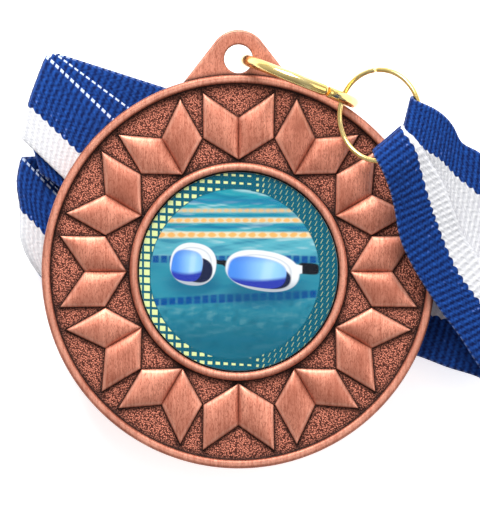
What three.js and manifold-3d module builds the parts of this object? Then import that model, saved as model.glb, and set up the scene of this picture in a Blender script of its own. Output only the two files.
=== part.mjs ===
// Sports finisher medal: a cast disc with a printed centre, two wire rings and a neck ribbon wound up behind it.
// Millimetres. The disc lies in XY, its face towards +Z, the tab towards +Y. The origin is the centre of the
// clear film over the printed centre, on the film's front face.
import * as THREE from 'three';
import * as BufferGeometryUtils from 'three/addons/utils/BufferGeometryUtils.js';
import Module from 'manifold-3d';

const wasm = await Module();
wasm.setup();

// Disc
const DISC_R = 25;
const BACK_Z = -2.4;
const FIELD_Z = -0.45;
const RIM_WIDTH = 1.1;
const RIM_TOP_Z = 0.6;
const RIM_ROUND = 0.35;
const COLLAR_IN_R = 12.75;
const COLLAR_OUT_R = 13.85;
const COLLAR_TOP_Z = 0.5;
const SEAT_Z = -1.2;
const DISC_SEGMENTS = 96;

// Star relief: pairs of rhombic petals round the centre
const PETAL_PAIRS = 12;
const PETAL_INNER_R = 14.2;
const PETAL_NOTCH_R = 19.5;
const PETAL_TIP_R = 23.1;
const PETAL_TIP_DEG = 11.3;
const PETAL_SIDE_R = 17.5;
const PETAL_SIDE_DEG = 14.7;
const PETAL_GROOVE_DEG = 0.35;
const PETAL_TOP_Z = 0.2;

// Hanging tab
const TAB_HOLE_Y = 27;
const TAB_HOLE_R = 1.82;
const TAB_OUTER_R = 3.68;
const TAB_FOOT = [7.3, 23.6];
const TAB_TOP_Z = 0.1;

// Printed centre: glue, print and clear film, each a thin round layer
const LAYER_GAP = 0.02;
const CENTRE_R = 12.5;
const GLUE_R = 12.0;
const GLUE_THICK = 0.2;
const PRINT_THICK = 0.5;

// Jump ring, standing on edge through the tab's hole
const JUMP_WIRE = 1.45;
const JUMP_OUTER_R = 8.1;
const JUMP_CENTRE = [7.74, 24.16, -0.9];
const JUMP_TURN_DEG = -21.5;
const JUMP_SPLIT_DEG = 3;

// Ribbon ring, lying over the disc's edge
const LINK_WIRE = 0.66;
const LINK_MEAN_R = 5.8;
const LINK_CENTRE = [17.85, 19.77, 4.0];
const LINK_TILT_DEG = 29.2;
const LINK_SPLIT_DEG = 4;

// Ribbon
const RIBBON_WIDTH = 16;
const RIBBON_THICK = 0.9;
const TABLE_Z = -9.0;
const WOUND_TOP_Z = -2.8;

const rad = THREE.MathUtils.degToRad;

const copper = new THREE.MeshStandardMaterial({ color: 0xb9694d, roughness: 0.45, metalness: 0.9 });
const gold = new THREE.MeshStandardMaterial({ color: 0xe6bf56, roughness: 0.2, metalness: 1 });
const glue = new THREE.MeshStandardMaterial({ color: 0xe8e6dd, roughness: 0.8, metalness: 0 });
const printed = new THREE.MeshStandardMaterial({ color: 0x1b7f98, roughness: 0.5, metalness: 0 });
const clear = new THREE.MeshStandardMaterial({ color: 0xf2f6f8, roughness: 0.1, metalness: 0 });
const fabric = new THREE.MeshStandardMaterial({ color: 0x1b43a5, roughness: 0.85, metalness: 0 });

const medal = new THREE.Group();

function addMesh(name, geometry, material) {
  const mesh = new THREE.Mesh(geometry, material);
  mesh.name = name;
  medal.add(mesh);
  return mesh;
}

// A point in the disc's plane from its radius and its angle, which is counted clockwise from the tab
function polar(radius, degrees) {
  return new THREE.Vector2(radius * Math.sin(rad(degrees)), radius * Math.cos(rad(degrees)));
}

function merged(geometry) {
  const plain = geometry.clone();
  plain.deleteAttribute('normal');
  plain.deleteAttribute('uv');
  return BufferGeometryUtils.mergeVertices(plain, 1e-4);
}

function toSolid(geometry) {
  const plain = merged(geometry);
  const vertProperties = new Float32Array(plain.attributes.position.array);
  const triVerts = new Uint32Array(plain.index.array);
  return new wasm.Manifold(new wasm.Mesh({ numProp: 3, vertProperties, triVerts }));
}

function toGeometry(solid) {
  const mesh = solid.getMesh();
  const geometry = new THREE.BufferGeometry();
  geometry.setAttribute('position', new THREE.BufferAttribute(new Float32Array(mesh.vertProperties), 3));
  geometry.setIndex(new THREE.BufferAttribute(new Uint32Array(mesh.triVerts), 1));
  return geometry;
}

function extruded(shape, bottom, top, curveSegments = 24) {
  const geometry = new THREE.ExtrudeGeometry(shape, { depth: top - bottom, bevelEnabled: false, curveSegments });
  geometry.translate(0, 0, bottom);
  return geometry;
}

// A lathe turns about Y, so the profile's height is stood up along Z afterwards
function turned(profile, segments) {
  const points = profile.map(([radius, z]) => new THREE.Vector2(radius, z));
  const geometry = new THREE.LatheGeometry(points, segments);
  geometry.rotateX(Math.PI / 2);
  return geometry;
}

function roundLayer(radius, bottom, top) {
  return turned([[0, bottom], [radius, bottom], [radius, top], [0, top]], DISC_SEGMENTS);
}

function discBlank() {
  const rimIn = DISC_R - RIM_WIDTH;
  return turned([
    [0, BACK_Z],
    [DISC_R - RIM_ROUND, BACK_Z],
    [DISC_R, BACK_Z + RIM_ROUND],
    [DISC_R, RIM_TOP_Z - RIM_ROUND],
    [DISC_R - RIM_ROUND, RIM_TOP_Z],
    [rimIn + RIM_ROUND, RIM_TOP_Z],
    [rimIn, RIM_TOP_Z - RIM_ROUND],
    [rimIn, FIELD_Z],
    [COLLAR_OUT_R, FIELD_Z],
    [COLLAR_OUT_R - RIM_ROUND, COLLAR_TOP_Z],
    [COLLAR_IN_R + RIM_ROUND, COLLAR_TOP_Z],
    [COLLAR_IN_R, COLLAR_TOP_Z - RIM_ROUND],
    [COLLAR_IN_R, SEAT_Z],
    [0, SEAT_Z],
  ], DISC_SEGMENTS);
}

function petal(axisDeg, side) {
  const corners = [
    polar(PETAL_INNER_R, axisDeg + side * PETAL_GROOVE_DEG),
    polar(PETAL_SIDE_R, axisDeg + side * PETAL_SIDE_DEG),
    polar(PETAL_TIP_R, axisDeg + side * PETAL_TIP_DEG),
    polar(PETAL_NOTCH_R, axisDeg + side * PETAL_GROOVE_DEG),
  ];
  return extruded(new THREE.Shape(corners), FIELD_Z - 0.1, PETAL_TOP_Z);
}

function tabOutline() {
  const shape = new THREE.Shape();
  const [footX, footY] = TAB_FOOT;
  const toHole = Math.hypot(footX, TAB_HOLE_Y - footY);
  // The straight side leaves the outer arc where it is tangent to it
  const tangentAngle = Math.atan2(footY - TAB_HOLE_Y, footX) + Math.acos(TAB_OUTER_R / toHole);
  shape.moveTo(-footX, footY - 2);
  shape.lineTo(footX, footY - 2);
  shape.lineTo(footX, footY);
  shape.absarc(0, TAB_HOLE_Y, TAB_OUTER_R, tangentAngle, Math.PI - tangentAngle, false);
  shape.lineTo(-footX, footY);
  return shape;
}

function medalBody() {
  let solid = toSolid(discBlank());
  const well = new THREE.Shape().absarc(0, 0, DISC_R - RIM_WIDTH / 2, 0, Math.PI * 2, false);
  const tab = toSolid(extruded(tabOutline(), BACK_Z, TAB_TOP_Z)).subtract(
    toSolid(extruded(well, BACK_Z - 1, TAB_TOP_Z + 1, DISC_SEGMENTS / 2)),
  );
  solid = solid.add(tab);
  for (let pair = 0; pair < PETAL_PAIRS; pair += 1) {
    for (const side of [-1, 1]) {
      const geometry = petal((360 / PETAL_PAIRS) * pair, side);
      solid = solid.add(toSolid(geometry));
    }
  }
  const hole = new THREE.Shape().absarc(0, TAB_HOLE_Y, TAB_HOLE_R, 0, Math.PI * 2, false);
  solid = solid.subtract(toSolid(extruded(hole, BACK_Z - 1, TAB_TOP_Z + 1, 16)));
  return toGeometry(solid);
}

// A split ring of round wire in the XY plane, its split at +X
function splitRing(meanR, wire, splitDeg, steps) {
  const path = new THREE.Curve();
  path.getPoint = (t) => {
    const angle = rad(splitDeg / 2 + (360 - splitDeg) * t);
    return new THREE.Vector3(meanR * Math.cos(angle), meanR * Math.sin(angle), 0);
  };
  const section = new THREE.Shape();
  const sides = 10;
  for (let i = 0; i < sides; i += 1) {
    const angle = (2 * Math.PI * i) / sides;
    section.lineTo((wire / 2) * Math.cos(angle), (wire / 2) * Math.sin(angle));
  }
  section.curves.shift();
  return new THREE.ExtrudeGeometry(section, { steps, extrudePath: path, bevelEnabled: false });
}

// A flat strip through stations, each a centre and a half-width vector, with its thickness along Z or as given
function strip(stations, thick) {
  const positions = [];
  const indices = [];
  for (const { at, half, lift } of stations) {
    const centre = new THREE.Vector3(...at);
    const across = new THREE.Vector3(...half);
    const up = new THREE.Vector3(...lift).normalize().multiplyScalar(thick / 2);
    for (const [a, u] of [[-1, -1], [1, -1], [1, 1], [-1, 1]]) {
      const corner = centre.clone().addScaledVector(across, a).addScaledVector(up, u);
      positions.push(corner.x, corner.y, corner.z);
    }
  }
  for (let s = 0; s < stations.length - 1; s += 1) {
    for (let k = 0; k < 4; k += 1) {
      const a = 4 * s + k;
      const b = 4 * s + ((k + 1) % 4);
      indices.push(a, b, a + 4, b, b + 4, a + 4);
    }
  }
  const end = 4 * (stations.length - 1);
  indices.push(0, 2, 1, 0, 3, 2, end, end + 1, end + 2, end, end + 2, end + 3);
  const geometry = new THREE.BufferGeometry();
  geometry.setAttribute('position', new THREE.Float32BufferAttribute(positions, 3));
  geometry.setIndex(indices);
  return geometry;
}

// Disc and printed centre
addMesh('medal_body', medalBody(), copper);
const printTop = -LAYER_GAP - 0.2;
const printBottom = printTop - PRINT_THICK;
addMesh('insert_adhesive', roundLayer(GLUE_R, SEAT_Z + LAYER_GAP, SEAT_Z + LAYER_GAP + GLUE_THICK), glue);
addMesh('printed_insert', roundLayer(CENTRE_R, printBottom, printTop), printed);
addMesh('clear_film', roundLayer(CENTRE_R, printTop + LAYER_GAP, 0), clear);

// Rings
const jumpRing = addMesh('jump_ring', splitRing(JUMP_OUTER_R - JUMP_WIRE / 2, JUMP_WIRE, JUMP_SPLIT_DEG, 48), gold);
jumpRing.position.set(...JUMP_CENTRE);
jumpRing.rotation.set(Math.PI / 2, 0, rad(JUMP_TURN_DEG), 'ZXY');
jumpRing.rotateZ(rad(60));

const ribbonRing = addMesh('ribbon_ring', splitRing(LINK_MEAN_R, LINK_WIRE, LINK_SPLIT_DEG, 48), gold);
ribbonRing.position.set(...LINK_CENTRE);
ribbonRing.rotation.set(0, rad(-LINK_TILT_DEG), 0);
ribbonRing.rotateZ(rad(95));

// Wound ribbon behind the disc: one closed outline round all its turns
const woundOutline = [
  [-23.9, 27.4], [-8.7, 22.6], [10, 16], [26, 10.4], [36, 7], [37.6, 1], [36.8, -13.6], [30.6, -13.4],
  [22.9, -10.6], [6, -15], [-10, -12], [-24.6, 0.2], [-27.5, 4], [-28.1, 11.5], [-27.2, 19.2],
].map(([x, y]) => new THREE.Vector2(x, y));
addMesh('ribbon_windings', extruded(new THREE.Shape(woundOutline), TABLE_Z, WOUND_TOP_Z), fabric);

// The two strands of the loop: from the ring, over the disc's edge and round to the windings
const foldedHalf = RIBBON_WIDTH / 4;
addMesh('ribbon_strand_front', strip([
  { at: [22.0, 15.6, 8.0], half: [1.6, 1.9, 0.2], lift: [0.2, 0.1, 1] },
  { at: [23.4, 10.4, 6.6], half: [2.9, 1.1, 0.3], lift: [0.2, -0.1, 1] },
  { at: [26.2, 4.2, 4.6], half: [foldedHalf, 1.3, 0], lift: [0, -0.2, 1] },
  { at: [29.4, -2.6, 3.2], half: [foldedHalf, 1.6, 0], lift: [0, -0.1, 1] },
  { at: [33.6, -8.6, 1.8], half: [2.6, 2.6, 0], lift: [0.3, -0.3, 1] },
  { at: [35.9, -11.4, -0.4], half: [1.2, 3.2, 0], lift: [1, -0.2, 0.4] },
  { at: [36.4, -12.0, -2.2], half: [0.9, 3.0, 0], lift: [1, -0.2, 0] },
], RIBBON_THICK), fabric);
addMesh('ribbon_strand_back', strip([
  { at: [25.2, 20.6, 7.8], half: [0.8, 1.9, 0.2], lift: [-0.2, 0.2, 1] },
  { at: [28.6, 16.4, 6.2], half: [2.0, 3.4, 0], lift: [0, 0.1, 1] },
  { at: [32.4, 11.6, 4.4], half: [2.6, 4.0, 0], lift: [0.1, 0.1, 1] },
  { at: [35.8, 7.4, 2.2], half: [2.6, 4.6, 0], lift: [0.6, 0.2, 1] },
  { at: [37.4, 5.2, -0.4], half: [1.2, 4.6, 0], lift: [1, 0.2, 0.4] },
  { at: [37.5, 4.6, -2.2], half: [0.6, 4.0, 0], lift: [1, 0.1, 0] },
], RIBBON_THICK), fabric);

export default medal;
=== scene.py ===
"""Looks of the sports finisher medal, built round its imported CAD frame. Blender 4.5, metres."""
import math

import bmesh
import bpy
import numpy as np
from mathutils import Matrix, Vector


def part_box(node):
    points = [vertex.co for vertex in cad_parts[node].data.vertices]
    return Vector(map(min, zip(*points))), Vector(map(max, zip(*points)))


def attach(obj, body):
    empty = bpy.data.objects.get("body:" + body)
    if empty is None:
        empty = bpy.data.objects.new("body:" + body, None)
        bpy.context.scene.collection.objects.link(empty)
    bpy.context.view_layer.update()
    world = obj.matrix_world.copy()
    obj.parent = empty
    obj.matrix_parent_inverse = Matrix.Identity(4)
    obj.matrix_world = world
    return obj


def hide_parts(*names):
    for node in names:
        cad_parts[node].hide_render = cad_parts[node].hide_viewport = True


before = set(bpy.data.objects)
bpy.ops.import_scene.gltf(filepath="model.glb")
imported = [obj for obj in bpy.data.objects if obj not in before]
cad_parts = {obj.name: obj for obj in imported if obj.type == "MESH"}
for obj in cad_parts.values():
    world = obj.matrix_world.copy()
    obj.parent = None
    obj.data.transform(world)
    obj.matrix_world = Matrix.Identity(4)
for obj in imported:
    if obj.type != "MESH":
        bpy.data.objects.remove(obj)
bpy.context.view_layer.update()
MM = 0.001


# Measures that come from the frame, in millimetres

def node_box(name):
    low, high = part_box(name)
    return np.array(low) / MM, np.array(high) / MM


BODY_LOW, BODY_HIGH = node_box("medal_body")
PRINT_LOW, PRINT_HIGH = node_box("printed_insert")
JUMP_LOW, JUMP_HIGH = node_box("jump_ring")
LINK_LOW, LINK_HIGH = node_box("ribbon_ring")

DISC_R = (BODY_HIGH[0] - BODY_LOW[0]) / 2
BACK_Z = BODY_LOW[2]
RIM_TOP_Z = BODY_HIGH[2]
TABLE_Z = JUMP_LOW[2]

# The disc and the lug, as in the CAD source
RIM_WIDTH = 1.1
FIELD_Z = -0.45
COLLAR_IN_R = 12.75
COLLAR_OUT_R = 13.85
COLLAR_TOP_Z = 0.5
SEAT_Z = -1.2
PETAL_PAIRS = 12
PETAL_INNER_R = 14.2
PETAL_NOTCH_R = 19.5
PETAL_TIP_R = 23.1
PETAL_TIP_DEG = 11.3
PETAL_SIDE_R = 17.5
PETAL_SIDE_DEG = 14.7
TAB_HOLE_Y = 27.0
TAB_HOLE_R = 1.82
TAB_OUTER_R = 3.68
TAB_FOOT = (7.3, 23.6)
TAB_TOP_Z = 0.1

# The petals' edges and how far their crowns rise over them, and the radii of the two crests, which are
# painted bright as both wear and highlight
PETAL_EDGE_Z = 0.08
PETAL_CROWN = 0.46
RIM_CREST_R = DISC_R - RIM_WIDTH * 0.52
COLLAR_CREST_R = (COLLAR_IN_R + COLLAR_OUT_R) / 2

# The rings' wire radius and the angle each ring stands at
JUMP_WIRE_R = 0.725
JUMP_TURN_DEG = -21.5
LINK_WIRE_R = 0.33
LINK_TILT_DEG = 29.2

# The ribbon: half its width, half the middle stripe's, its thickness, and the pitch of the weave
RIBBON_HALF = 8.0
STRIPE_EDGE = 2.67
RIBBON_THICK = 0.45
ROW_PITCH = 0.85
COLUMN_PITCH = 0.90

# How far along each winding its bend is. From there on a pale thread shows on the outer selvedge.
TURN_ALONG = 46.0

# How far a winding's far end is folded in, and how far apart the fold's two layers are
END_TUCK = 11.0
END_GAP = 0.75

# The printed centre's round window, as x, y and radius, and the halftone grid outside it. The phase sets
# where the grid's cells start, and keeps their remainders positive.
WINDOW = (-0.45, -0.30, 10.75)
DOT_PITCH_LEFT = 1.0
DOT_PITCH_RIGHT = 0.74
DOT_SLANT = 0.06
DOT_PHASE = (40.12, 40.3)
DOT = (0.78, 0.88, 0.40, 1)

# How far the printed disc is carried on past the CAD's, to meet the collar
PRINT_SPREAD = 0.12


# Small helpers

def mesh_object(name, verts_mm, faces, smooth=True):
    mesh = bpy.data.meshes.new(name)
    mesh.from_pydata([tuple(v) for v in np.asarray(verts_mm) * MM], [], [tuple(map(int, f)) for f in faces])
    mesh.validate()
    mesh.update()
    obj = bpy.data.objects.new(name, mesh)
    bpy.context.collection.objects.link(obj)
    mesh.polygons.foreach_set("use_smooth", [smooth] * len(mesh.polygons))
    return obj


def turn_faces_out(obj):
    bm = bmesh.new()
    bm.from_mesh(obj.data)
    bmesh.ops.recalc_face_normals(bm, faces=bm.faces)
    bm.to_mesh(obj.data)
    bm.free()


def join(objs, name):
    for o in bpy.context.selected_objects:
        o.select_set(False)
    for o in objs:
        o.select_set(True)
    bpy.context.view_layer.objects.active = objs[0]
    bpy.ops.object.join()
    objs[0].name = name
    return objs[0]


def polar(radius, degrees):
    return (radius * math.sin(math.radians(degrees)), radius * math.cos(math.radians(degrees)))


def grid_faces(rows, cols, wrap=False):
    faces = []
    last = cols if wrap else cols - 1
    for r in range(rows - 1):
        for c in range(last):
            d = (c + 1) % cols
            faces.append((r * cols + c, r * cols + d, (r + 1) * cols + d, (r + 1) * cols + c))
    return faces


# Materials

class Nodes:
    """A material's node tree with short calls."""

    def __init__(self, name, **shader):
        self.mat = bpy.data.materials.new(name)
        self.mat.use_nodes = True
        self.tree = self.mat.node_tree
        self.bsdf = self.tree.nodes["Principled BSDF"]
        for key, value in shader.items():
            self.bsdf.inputs[key.replace("_", " ")].default_value = value

    def add(self, kind, links=None, **settings):
        node = self.tree.nodes.new(kind)
        for key, value in settings.items():
            setattr(node, key, value)
        for key, value in (links or {}).items():
            self.put(node.inputs[key], value)
        return node

    def put(self, socket, value):
        if isinstance(value, bpy.types.NodeSocket):
            self.tree.links.new(value, socket)
        else:
            socket.default_value = value

    def math(self, operation, a, b=0.0, clamp=False):
        return self.add("ShaderNodeMath", {0: a, 1: b}, operation=operation, use_clamp=clamp).outputs[0]

    def plus(self, a, b, clamp=False):
        return self.math("ADD", a, b, clamp)

    def minus(self, a, b):
        return self.math("SUBTRACT", a, b)

    def times(self, a, b):
        return self.math("MULTIPLY", a, b)

    def mix(self, factor, a, b):
        node = self.add("ShaderNodeMix", data_type="RGBA")
        self.put(node.inputs[0], factor)
        self.put(node.inputs[6], a)
        self.put(node.inputs[7], b)
        return node.outputs[2]

    def ramp(self, value, low, high, out_low=0.0, out_high=1.0):
        links = {0: value, 1: low, 2: high, 3: out_low, 4: out_high}
        return self.add("ShaderNodeMapRange", links).outputs[0]

    def place(self, scale=(1, 1, 1)):
        where = self.add("ShaderNodeTexCoord").outputs["Object"]
        return self.add("ShaderNodeMapping", {"Vector": where, "Scale": scale}).outputs[0]

    def noise(self, vector, scale, detail=3.0, rough=0.5):
        links = {"Vector": vector, "Scale": scale, "Detail": detail, "Roughness": rough}
        return self.add("ShaderNodeTexNoise", links).outputs["Fac"]

    def attribute(self, name, output="Fac"):
        return self.add("ShaderNodeAttribute", attribute_name=name).outputs[output]

    def wave(self, place, pitch):
        """A sine of the place, with the pitch in the place's own unit."""
        return self.math("SINE", self.times(place, 2 * math.pi / pitch))

    def bump(self, height, strength, distance, normal=None):
        links = {"Height": height, "Strength": strength, "Distance": distance}
        if normal is not None:
            links["Normal"] = normal
        return self.add("ShaderNodeBump", links).outputs[0]

    def fix(self, socket, value):
        self.bsdf.inputs[socket].default_value = value

    def shade(self, **sockets):
        for key, value in sockets.items():
            self.put(self.bsdf.inputs[key.replace("_", " ")], value)
        return self.mat


COPPER_BRIGHT = (0.88, 0.355, 0.235, 1)
COPPER_MID = (0.56, 0.175, 0.105, 1)
COPPER_RED = (0.33, 0.080, 0.042, 1)
# A dark copper for the shade painted into corners and recesses
COPPER_SHADE = (0.028, 0.008, 0.005, 1)
# Bright copper for rubbed edges and crests: partly real wear, partly a painted highlight
COPPER_RUBBED_LIT = (0.92, 0.45, 0.32, 1)
FIELD_PIT = (0.105, 0.023, 0.013, 1)
FIELD_GRAIN = (0.93, 0.320, 0.205, 1)


def copper_material():
    """Antique copper: brushed where it is high, stippled and dark where it is low.

    The mesh's attributes give painted shade, 1 in corners, relief, 1 on brushed faces, and a bright edge
    that is both wear and painted highlight, 1 on rubbed edges.
    """
    m = Nodes("antique_copper", Metallic=0.60)
    painted_shade = m.attribute("painted_shade")
    relief = m.attribute("relief")
    wear_and_highlight = m.attribute("wear_and_highlight")
    fine = m.noise(m.place((9500, 700, 900)), 1.0, 3.0, 0.7)
    broad = m.noise(m.place((2600, 160, 300)), 1.0, 2.0)
    pits = m.noise(m.place((7000, 2400, 1300)), 1.0, 3.0, 0.7)
    cells = {"Vector": m.place(), "Scale": 5000, "Randomness": 1.0}
    bumps = m.add("ShaderNodeTexVoronoi", cells).outputs["Distance"]
    grains = m.noise(m.place(), 7000, 2.0, 0.6)
    blotch = m.noise(m.place(), 170, 3.0)
    strokes = m.plus(m.times(fine, 0.65), m.times(broad, 0.35))
    high = m.mix(m.ramp(strokes, 0.34, 0.60), COPPER_MID, COPPER_BRIGHT)
    high = m.mix(m.ramp(blotch, 0.40, 0.68, 0, 0.60), high, COPPER_RED)
    high = m.mix(m.ramp(pits, 0.50, 0.64, 0, 0.70), high, COPPER_RED)
    # Rubbed edges turn bright, partly real wear and partly a painted highlight
    high = m.mix(m.times(wear_and_highlight, m.ramp(broad, 0.3, 0.6, 0.2, 0.7)), high, COPPER_RUBBED_LIT)
    height = m.minus(m.times(grains, 0.35), bumps)
    low = m.mix(m.ramp(height, -0.48, 0.02), FIELD_PIT, FIELD_GRAIN)
    colour = m.mix(relief, low, high)
    # Painted shade: the corner attribute, roughened a little by grain, darkens the colour
    shade_and_grain = m.plus(painted_shade, m.times(m.minus(grains, 0.5), 0.45), clamp=True)
    colour = m.mix(m.ramp(shade_and_grain, 0.12, 0.80), colour, COPPER_SHADE)
    rough = m.ramp(m.plus(relief, m.times(strokes, 0.3)), 0.0, 1.3, 0.60, 0.46)
    normal = m.bump(m.times(height, m.minus(1.0, relief)), 1.0, 0.00012)
    normal = m.bump(m.times(strokes, relief), 0.30, 0.00005, normal)
    return m.shade(Base_Color=colour, Roughness=rough, Normal=normal)


GOLD_DEEP = (0.90, 0.62, 0.19, 1)
GOLD_PALE = (0.98, 0.78, 0.36, 1)


def gold_material():
    m = Nodes("gold_plate", Metallic=1.0)
    where = m.place()
    colour = m.mix(m.ramp(m.noise(where, 500, 2.0), 0.35, 0.7), GOLD_DEEP, GOLD_PALE)
    fine = m.noise(where, 2600, 3.0)
    rough = m.ramp(fine, 0.3, 0.7, 0.13, 0.23)
    return m.shade(Base_Color=colour, Roughness=rough, Normal=m.bump(fine, 0.08, 0.00003))


def print_material():
    """The picture is the mesh's ink attribute. The border's halftone grid is made here, to stay crisp."""
    m = Nodes("centre_print", Roughness=0.5)
    m.fix("Specular IOR Level", 0.08)
    ink = m.attribute("ink", "Color")
    where = m.add("ShaderNodeSeparateXYZ", {0: m.place((1000, 1000, 1000))})
    x, y = where.outputs[0], where.outputs[1]
    closer = m.times(m.math("GREATER_THAN", x, 2.0), DOT_PITCH_LEFT - DOT_PITCH_RIGHT)
    pitch = m.minus(DOT_PITCH_LEFT, closer)
    middle = m.times(pitch, 0.5)
    cell_x = m.minus(m.math("MODULO", m.plus(x, DOT_PHASE[0]), pitch), middle)
    slanted = m.plus(m.plus(y, DOT_PHASE[1]), m.times(x, DOT_SLANT))
    cell_y = m.minus(m.math("MODULO", slanted, pitch), middle)
    left = m.ramp(x, 3.0, -11.5)
    right = m.ramp(x, 1.6, 3.6)
    not_right = m.minus(1.0, right)
    wide = m.plus(m.times(left, 0.14), m.times(not_right, 0.18))
    wide = m.plus(wide, 0.045)
    tall = m.plus(m.times(left, 0.28), m.times(right, 0.20))
    tall = m.plus(tall, 0.075)
    leaning = m.minus(cell_x, m.times(m.times(cell_y, 0.5), right))
    in_width = m.minus(wide, m.math("ABSOLUTE", leaning))
    in_height = m.minus(tall, m.math("ABSOLUTE", cell_y))
    dot = m.math("MINIMUM", in_width, in_height)
    offset_x = m.minus(x, WINDOW[0])
    offset_y = m.minus(y, WINDOW[1])
    offset = m.add("ShaderNodeCombineXYZ", {0: offset_x, 1: offset_y}).outputs[0]
    from_window = m.add("ShaderNodeVectorMath", {0: offset}, operation="LENGTH").outputs["Value"]
    border = m.ramp(from_window, WINDOW[2] + 0.05, WINDOW[2] + 0.12)
    amount = m.times(m.ramp(dot, -0.02, 0.02), border)
    amount = m.times(amount, m.ramp(right, 0, 1, 1.0, 0.55))
    colour = m.mix(amount, ink, DOT)
    grain = m.noise(m.place(), 5000, 2.0)
    return m.shade(Base_Color=colour, Normal=m.bump(grain, 0.06, 0.00002))


def film_material():
    """Clear film: nearly all of it lets the print show, and the rest shines by Fresnel."""
    m = Nodes("clear_gloss", Roughness=0.08)
    m.fix("IOR", 1.49)
    m.fix("Base Color", (1, 1, 1, 1))
    clear = m.add("ShaderNodeBsdfTransparent").outputs[0]
    gloss = m.add("ShaderNodeBsdfGlossy", {"Roughness": 0.09}).outputs[0]
    smear = m.noise(m.place(), 90, 2.0)
    fresnel = m.add("ShaderNodeFresnel", {"IOR": 1.42}).outputs[0]
    share = m.times(fresnel, m.ramp(smear, 0.3, 0.7, 0.15, 0.35))
    mixed = m.add("ShaderNodeMixShader", {0: share, 1: clear, 2: gloss}).outputs[0]
    m.tree.links.new(mixed, m.tree.nodes["Material Output"].inputs[0])
    return m.mat


def glue_material():
    m = Nodes("glue_pad", Roughness=0.8)
    cells = m.noise(m.place(), 2400, 3.0)
    colour = m.mix(cells, (0.70, 0.68, 0.60, 1), (0.86, 0.85, 0.78, 1))
    return m.shade(Base_Color=colour, Normal=m.bump(cells, 0.3, 0.00005))


# Shaded and lit copies of the ribbon's blue and white, for painted shade and light on the ribs
BLUE_SHADED = (0.001, 0.011, 0.085, 1)
BLUE_LIT = (0.013, 0.086, 0.40, 1)
WHITE_SHADED = (0.66, 0.66, 0.69, 1)
WHITE_LIT = (0.88, 0.87, 0.88, 1)
SPECK = (0.45, 0.52, 0.90, 1)
THREAD = (0.66, 0.76, 0.95, 1)


def ribbon_material():
    """Ribbed weave in three stripes. The UV map is the place across and along the strip, in millimetres."""
    m = Nodes("woven_ribbon", Roughness=0.78)
    m.fix("Specular IOR Level", 0.15)
    m.fix("Sheen Weight", 0.05)
    m.fix("Sheen Roughness", 0.5)
    strip = m.add("ShaderNodeUVMap", uv_map="strip").outputs[0]
    split = m.add("ShaderNodeSeparateXYZ", {0: strip})
    across, along = split.outputs[0], split.outputs[1]
    out = m.math("ABSOLUTE", across)
    scallop = m.times(m.math("ABSOLUTE", m.wave(along, 2.36)), 0.30)
    stripe_end = m.minus(STRIPE_EDGE + 0.15, scallop)
    inside = m.ramp(m.minus(out, stripe_end), -0.04, 0.04)
    column = m.wave(across, COLUMN_PITCH)
    row = m.wave(along, ROW_PITCH)
    row_turn = m.times(along, 2 * math.pi / ROW_PITCH)
    shifted_row = m.math("SINE", m.plus(row_turn, m.times(column, 1.3)))
    twill = m.times(m.times(column, shifted_row), 0.55)
    weave = m.plus(m.times(row, 0.45), twill)
    fuzz = m.noise(m.place(), 2600, 3.0, 0.6)
    # Painted light and shade on the weave's ribs, with random fuzz, picks between the shaded and lit copies
    rib_light_and_fuzz = m.plus(m.times(weave, 0.36), fuzz)
    blue = m.mix(m.ramp(rib_light_and_fuzz, 0.25, 0.95), BLUE_SHADED, BLUE_LIT)
    specks = m.ramp(m.noise(m.place(), 900, 2.0), 0.58, 0.72)
    specks = m.times(specks, m.ramp(weave, 0.45, 0.8))
    near_white = m.ramp(out, STRIPE_EDGE + 3.2, STRIPE_EDGE + 0.2)
    specks = m.times(m.times(specks, near_white), 0.6)
    blue = m.mix(specks, blue, SPECK)
    white = m.mix(m.ramp(rib_light_and_fuzz, 0.3, 0.9), WHITE_SHADED, WHITE_LIT)
    colour = m.mix(inside, white, blue)
    on_edge = m.ramp(out, RIBBON_HALF - 0.22, RIBBON_HALF - 0.16)
    thread = m.times(on_edge, m.ramp(row, -0.5, -0.2))
    outer_side = m.ramp(across, -1, 1)
    past_turn = m.ramp(along, TURN_ALONG - 3, TURN_ALONG)
    shown = m.times(outer_side, past_turn)
    thread = m.times(thread, m.ramp(shown, 0, 1, 0.12, 0.9))
    colour = m.mix(thread, colour, THREAD)
    normal = m.bump(m.plus(weave, fuzz), 0.55, 0.00009)
    return m.shade(Base_Color=colour, Normal=normal)


# Medal body

def petal_corners(pair, side):
    axis = 360 / PETAL_PAIRS * pair
    return np.array([
        polar(PETAL_INNER_R, axis),
        polar(PETAL_SIDE_R, axis + side * PETAL_SIDE_DEG),
        polar(PETAL_TIP_R, axis + side * PETAL_TIP_DEG),
        polar(PETAL_NOTCH_R, axis),
    ])


def all_petals():
    return [petal_corners(pair, side) for pair in range(PETAL_PAIRS) for side in (-1, 1)]


def edge_distance(points, corners):
    """Distance from each point to a petal's outline, and whether it is inside."""
    best = np.full(len(points), 1e9)
    centre = corners.mean(axis=0)
    inside = np.ones(len(points), bool)
    for a, b in zip(corners, np.roll(corners, -1, axis=0)):
        along = b - a
        t = np.clip(((points - a) @ along) / (along @ along), 0, 1)
        best = np.minimum(best, np.linalg.norm(points - a - t[:, None] * along, axis=1))
        normal = np.array([along[1], -along[0]])
        if (centre - a) @ normal < 0:
            normal = -normal
        inside &= (points - a) @ normal > 0
    return best, inside


def add_values(obj, name, values):
    layer = obj.data.attributes.new(name, "FLOAT", "POINT")
    layer.data.foreach_set("value", np.asarray(values, dtype=np.float32))


def round_arc(cx, cz, radius, start, end, steps):
    angles = np.radians(np.linspace(start, end, steps))
    return [(cx + radius * math.cos(a), cz + radius * math.sin(a)) for a in angles]


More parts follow.
